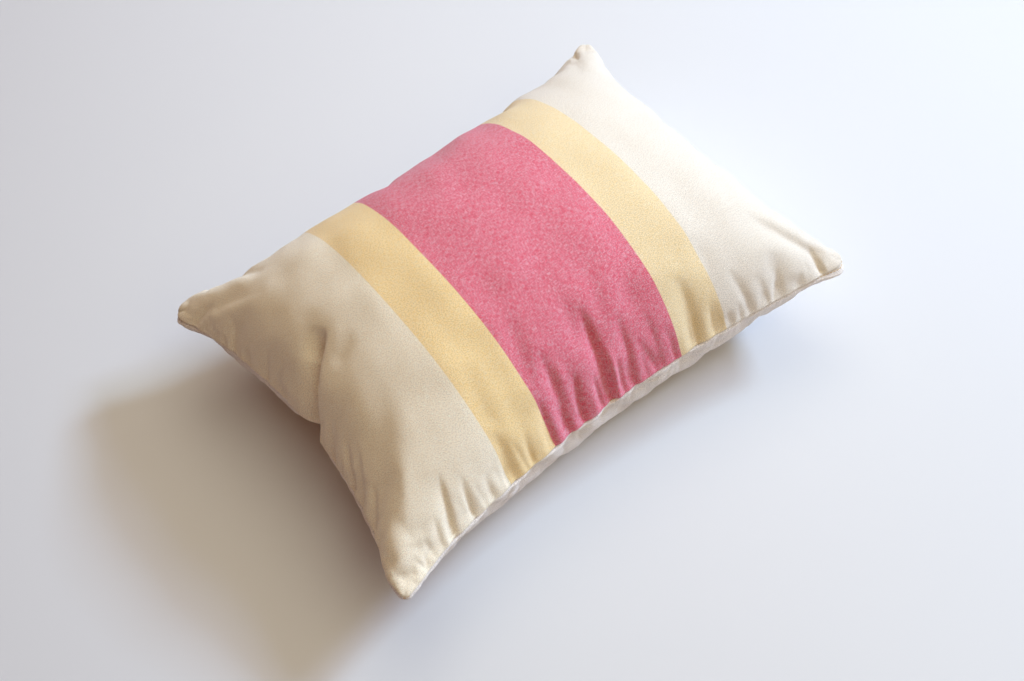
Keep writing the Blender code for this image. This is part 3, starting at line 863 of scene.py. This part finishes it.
# A noise changes so many times in a metre along x and along y, and each is cut from a layer of its own
Noise = namedtuple("Noise", "name along_x along_y layer")
NOISES = (
    Noise("warp", 2400, 300, 0.0),
    Noise("weft", 280, 2400, 7.0),
    Noise("flecks", 3000, 3000, 13.0),
    Noise("clouds", 170, 170, 19.0),
    Noise("nubs", 1500, 1500, 23.0),
)
Yarns = namedtuple("Yarns", ["mound", "warp_on_top", *(noise.name for noise in NOISES)])


def weave_yarns(wire):
    """Wires of a plain weave: its mounds, where the warp lies on top, and how uneven the yarns are."""
    place = wire.node("ShaderNodeUVMap", {"uv_map": "cloth"}, {})
    x, y = (wire.node("ShaderNodeSeparateXYZ", {}, {"Vector": place}, out=axis) for axis in "XY")
    crossing = (x * (np.pi / YARN_PITCH)).sine() * (y * (np.pi / YARN_PITCH)).sine()
    uneven = []
    for noise in NOISES:
        stretched = {0: x * noise.along_x, 1: y * noise.along_y, 2: noise.layer}
        vector = wire.node("ShaderNodeCombineXYZ", {}, stretched)
        sockets = {"Vector": vector, "Scale": 1.0, "Detail": NOISE_DETAIL}
        uneven.append(wire.node("ShaderNodeTexNoise", {}, sockets))
    return Yarns(abs(crossing) ** MOUND_POWER, crossing.step(*WARP_ON_TOP), *uneven)


# %% The finish that both cloths share
CLOTH_ROUGHNESS = 0.88
CLOTH_SPECULAR = 0.25
NAP_WEIGHT = 0.25
NAP_ROUGHNESS = 0.5
YARN_HEIGHT = 0.00010
YARN_SWELL = 0.8
CROSSING_CONTRAST = 0.25
CLOUD_CONTRAST = 0.4
NUB_CONTRAST = 1.4
Weave = namedtuple("Weave", "warp_share streaks flecks")


def finish_cloth(shader, wire, weave, warp_colour, weft_colour):
    """Gives a cloth its yarns' colours, relief and nap. Thick places are paler and thin ones darker."""
    yarns = weave_yarns(wire)
    cover = weave.warp_share + CROSSING_CONTRAST * (yarns.warp_on_top - 0.5)
    cover = cover + weave.streaks * (yarns.warp - yarns.weft) + weave.flecks * (yarns.flecks - 0.5)
    cover = cover + CLOUD_CONTRAST * (yarns.clouds - 0.5)
    colour = cover.step(0.0, 1.0).mix(weft_colour, warp_colour)
    shade = {0: colour, "Scale": 1 + NUB_CONTRAST * (yarns.nubs - 0.5)}
    height = yarns.mound + YARN_SWELL * (yarns.warp + yarns.weft) + yarns.nubs
    relief = {"Height": height, "Distance": YARN_HEIGHT, "Strength": 1.0}
    plug(shader, {
        "Base Color": wire.node("ShaderNodeVectorMath", {"operation": "SCALE"}, shade),
        "Normal": wire.node("ShaderNodeBump", {}, relief),
        "Roughness": CLOTH_ROUGHNESS,
        "Sheen Weight": NAP_WEIGHT,
        "Sheen Roughness": NAP_ROUGHNESS,
        "Specular IOR Level": CLOTH_SPECULAR,
    })


# %% Front cloth with its bands
FRONT_WEAVE = Weave(warp_share=0.60, streaks=1.8, flecks=1.8)
Band = namedtuple("Band", "name ends_at warp weft")
BANDS = (
    # Painted light: the left cream is the right cream's cloth, painted lighter for the weaker light there.
    Band("cream_left", -0.0972, linear(247, 231, 204), linear(253, 244, 224)),
    Band("yellow_left", -0.0559, linear(248, 214, 150), linear(252, 228, 182)),
    Band("pink", 0.0579, linear(226, 84, 109), linear(231, 170, 181)),
    Band("yellow_right", 0.0973, linear(240, 212, 158), linear(245, 226, 192)),
    Band("cream_right", FLAT_LENGTH / 2, linear(231, 218, 200), linear(241, 232, 218)),
)
YARN_EDGE = 0.0004


def banded(along, colours):
    """The colour of the band that a place lies in, changing at each edge within one yarn."""
    colour = colour4(colours[0])
    for band, following in zip(BANDS, colours[1:]):
        past = along.step(band.ends_at - YARN_EDGE, band.ends_at + YARN_EDGE)
        colour = past.mix(colour, colour4(following))
    return colour


def make_front_cloth():
    """One cloth whose yarns change their dye from band to band; its left cream is painted lighter."""
    material, shader, wire = new_material("front_cloth")
    along = wire.node("ShaderNodeAttribute", {"attribute_name": "along_bands"}, {}, out="Fac")
    warp_colour = banded(along, [band.warp for band in BANDS])
    weft_colour = banded(along, [band.weft for band in BANDS])
    finish_cloth(shader, wire, FRONT_WEAVE, warp_colour, weft_colour)
    return material


front_cloth = make_front_cloth()
print("front cloth:", ", ".join(band.name for band in BANDS))
print(len(front_cloth.node_tree.nodes), "nodes in the front cloth")

# %% Back cloth
BACK_WEAVE = Weave(warp_share=0.50, streaks=0.9, flecks=0.6)
BACK_WARP = linear(240, 230, 221)
BACK_WEFT = linear(250, 241, 233)


def make_back_cloth():
    """Greige cloth, whose two yarns are nearly alike."""
    material, shader, wire = new_material("back_cloth")
    finish_cloth(shader, wire, BACK_WEAVE, colour4(BACK_WARP), colour4(BACK_WEFT))
    return material


back_cloth = make_back_cloth()
cushion.data.materials.append(front_cloth)
cushion.data.materials.append(back_cloth)
print(len(back_cloth.node_tree.nodes), "nodes in the back cloth")

# %% [markdown]
# Stitches
#
# The seam is closed by one line of golden-tan thread that lies in the groove between the two panels.
# Its colour is partly the thread's own and partly painted shade: it draws the thin tan line of shade
# along the groove. Five hundred stitches could be placed by a loop, but stitches that follow a line
# are what Geometry Nodes are for: the seam's line is cut into even steps, each step gets one short
# stitch that points along the seam, and a fixed seed makes some a little longer than others.

# %% The seam's line
STITCH_PITCH = 0.0026
STITCH_LENGTH = 0.0021
THREAD_RADIUS = 0.00034
STITCH_SEED = 3
SHORTEST_STITCH = 0.85
LONGEST_STITCH = 1.1
STITCH_SIDES = 6
STITCH_RINGS = 4


def seam_line():
    """An object whose closed line of edges runs once round the seam."""
    points = front.points
    loop = np.concatenate([points[:-1, 0], points[-1, :-1], points[:0:-1, -1], points[0, :0:-1]])
    mesh = bpy.data.meshes.new("seam_stitches")
    edges = [(number, (number + 1) % len(loop)) for number in range(len(loop))]
    mesh.from_pydata(loop.tolist(), edges, [])
    line = bpy.data.objects.new("seam_stitches", mesh)
    scene.collection.objects.link(line)
    print("seam line", line_length(np.concatenate([loop, loop[:1]])), "m round")
    return line


# %% Node tree that lays the stitches
STITCH_INPUTS = {
    "Pitch": ("NodeSocketFloat", STITCH_PITCH),
    "Half Length": ("NodeSocketFloat", STITCH_LENGTH / 2),
    "Radius": ("NodeSocketFloat", THREAD_RADIUS),
    "Seed": ("NodeSocketInt", STITCH_SEED),
}


def stitch_tree(thread):
    """Instances of one stitch along a line, made real and given the thread's material."""
    tree = bpy.data.node_groups.new("lay_stitches", "GeometryNodeTree")
    tree.interface.new_socket("Line", in_out="INPUT", socket_type="NodeSocketGeometry")
    tree.interface.new_socket("Stitches", in_out="OUTPUT", socket_type="NodeSocketGeometry")
    for name, (kind, _) in STITCH_INPUTS.items():
        tree.interface.new_socket(name, in_out="INPUT", socket_type=kind)
    wire = Wire(tree)
    line, pitch, half_length, radius, seed = (
        wire.node("NodeGroupInput", {}, {}, out=name) for name in ("Line", *STITCH_INPUTS))

    curve = wire.node("GeometryNodeMeshToCurve", {}, {"Mesh": line})
    steps = wire.node("GeometryNodeResampleCurve", {"mode": "LENGTH"}, {"Curve": curve, "Length": pitch})
    tangent = wire.node("GeometryNodeInputTangent", {}, {})
    turn = wire.node("FunctionNodeAlignRotationToVector", {"axis": "X"}, {"Vector": tangent})
    ball_sizes = {"Segments": STITCH_SIDES, "Rings": STITCH_RINGS, "Radius": 1.0}
    ball = wire.node("GeometryNodeMeshUVSphere", {}, ball_sizes)
    limits = {2: SHORTEST_STITCH, 3: LONGEST_STITCH, "Seed": seed}
    share = wire.node("FunctionNodeRandomValue", {"data_type": "FLOAT"}, limits, out=1)
    size = wire.node("ShaderNodeCombineXYZ", {}, {0: half_length * share, 1: radius, 2: radius})
    placed = {"Points": steps, "Instance": ball, "Rotation": turn, "Scale": size}
    laid = wire.node("GeometryNodeInstanceOnPoints", {}, placed)
    real = wire.node("GeometryNodeRealizeInstances", {}, {"Geometry": laid})
    smooth = wire.node("GeometryNodeSetShadeSmooth", {}, {"Geometry": real})
    dyed = wire.node("GeometryNodeSetMaterial", {}, {"Geometry": smooth, "Material": thread})
    plug(tree.nodes.new("NodeGroupOutput"), {"Stitches": dyed})
    return tree


# %% Thread and stitches
# Partly painted shade: the golden tan also draws the thin line of shade along the seam's groove.
THREAD_AND_GROOVE_SHADE_TONES = (linear(196, 158, 100), linear(228, 194, 134))
THREAD_ROUGHNESS = 0.6
TWIST_SCALE = 1500.0
TWIST_EDGE = (0.35, 0.65)


def make_thread():
    """Two tones of spun thread that change within a fraction of a millimetre, partly painted shade."""
    material, shader, wire = new_material("golden_thread")
    place = wire.node("ShaderNodeTexCoord", {}, {}, out="Object")
    plies = wire.node("ShaderNodeTexNoise", {}, {"Vector": place, "Scale": TWIST_SCALE, "Detail": 1.0})
    tone = plies.step(*TWIST_EDGE).mix(*(colour4(tone) for tone in THREAD_AND_GROOVE_SHADE_TONES))
    plug(shader, {"Base Color": tone, "Roughness": THREAD_ROUGHNESS})
    return material


def make_stitches():
    """Lays the stitches and keeps them as a plain mesh."""
    line = seam_line()
    lay = line.modifiers.new("lay", "NODES")
    lay.node_group = stitch_tree(make_thread())
    for socket in lay.node_group.interface.items_tree:
        if socket.name in STITCH_INPUTS:
            lay[socket.identifier] = STITCH_INPUTS[socket.name][1]
    laid = bpy.data.meshes.new_from_object(line.evaluated_get(bpy.context.evaluated_depsgraph_get()))
    line.modifiers.remove(lay)
    line.data = laid
    return line


stitches = make_stitches()
print(len(stitches.data.polygons), "faces of thread")

# %% [markdown]
# Floor and light
#
# The cushion lies on a pale table, and the two panes of a window to its right show a cool sky. They
# are small enough to give the shadow a clear left edge. The near wall, the far wall and the ceiling
# throw some of that light back, and a dim warm glow all round makes the shadow brown and not grey. A
# sun lamp would cast too hard a shadow, and a bright world alone would cast none, so each part of the
# room that sheds light is an area lamp of about its real width.

# %% Floor
FLOOR_SIZE = 6.0
FLOOR_DROP = 0.0002
TABLE_TONES = ((0.73, 0.73, 0.74), (0.75, 0.75, 0.76))
TABLE_ROUGHNESS = 0.7
TABLE_SPECULAR = 0.2
PATCH_SCALE = 3.0


def make_floor():
    """A plain pale table top, just under the cushion's base."""
    half = FLOOR_SIZE / 2
    mesh = bpy.data.meshes.new("table_top")
    corners = [(-half, -half), (half, -half), (half, half), (-half, half)]
    mesh.from_pydata([(x, y, -FLOOR_DROP) for x, y in corners], [], [(0, 1, 2, 3)])
    floor = bpy.data.objects.new("table_top", mesh)
    scene.collection.objects.link(floor)
    material, shader, wire = new_material("pale_table")
    place = wire.node("ShaderNodeTexCoord", {}, {}, out="Object")
    patches = wire.node("ShaderNodeTexNoise", {}, {"Vector": place, "Scale": PATCH_SCALE, "Detail": 3.0})
    tone = patches.mix(*(colour4(tone) for tone in TABLE_TONES))
    plug(shader, {"Base Color": tone, "Roughness": TABLE_ROUGHNESS, "Specular IOR Level": TABLE_SPECULAR})
    mesh.materials.append(material)


make_floor()
print("table top", FLOOR_SIZE, "m wide")

# %% Lamps
Lamp = namedtuple("Lamp", "name bearing height distance wide high watts colour")
LAMPS = (
    Lamp("window_left_pane", -4, 33, 3.0, 0.50, 0.40, 56.0, (0.53, 0.75, 1.00)),
    Lamp("window_right_pane", -18, 36, 3.0, 0.70, 0.50, 42.0, (0.54, 0.68, 1.00)),
    Lamp("near_wall", -75, 50, 1.3, 1.20, 0.80, 4.3, (1.00, 0.98, 0.71)),
    Lamp("far_wall", 45, 50, 1.3, 1.20, 0.80, 4.6, (1.00, 0.90, 0.74)),
    Lamp("ceiling", 25, 75, 1.2, 1.40, 1.40, 5.0, (0.96, 1.00, 0.88)),
)
AIMED_AT = Vector((0, 0, 0.05))
ROOM_COLOUR = (1.00, 0.39, 0.18)
ROOM_LIGHT = 0.14


def make_lamp(lamp):
    """A flat area lamp, whose bearing is counted from the cushion's right end."""
    bearing, height = np.radians(lamp.bearing), np.radians(lamp.height)
    towards = Vector((np.cos(bearing) * np.cos(height), np.sin(bearing) * np.cos(height), np.sin(height)))
    light = bpy.data.lights.new(lamp.name, "AREA")
    light.shape = "RECTANGLE"
    light.size = lamp.wide
    light.size_y = lamp.high
    light.energy = lamp.watts
    light.color = lamp.colour
    holder = bpy.data.objects.new(lamp.name, light)
    holder.location = AIMED_AT + lamp.distance * towards
    holder.rotation_euler = towards.to_track_quat("Z", "Y").to_euler()
    scene.collection.objects.link(holder)


for lamp in LAMPS:
    make_lamp(lamp)
room = bpy.data.worlds.new("room")
room.use_nodes = True
plug(room.node_tree.nodes["Background"], {"Color": colour4(ROOM_COLOUR), "Strength": ROOM_LIGHT})
scene.world = room
scene.view_settings.view_transform = "Standard"
print("lamps:", ", ".join(lamp.name for lamp in LAMPS))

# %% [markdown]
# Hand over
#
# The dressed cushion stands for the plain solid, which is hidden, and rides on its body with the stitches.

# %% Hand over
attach(cushion, "root")
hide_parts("cushion")
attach(stitches, "root")
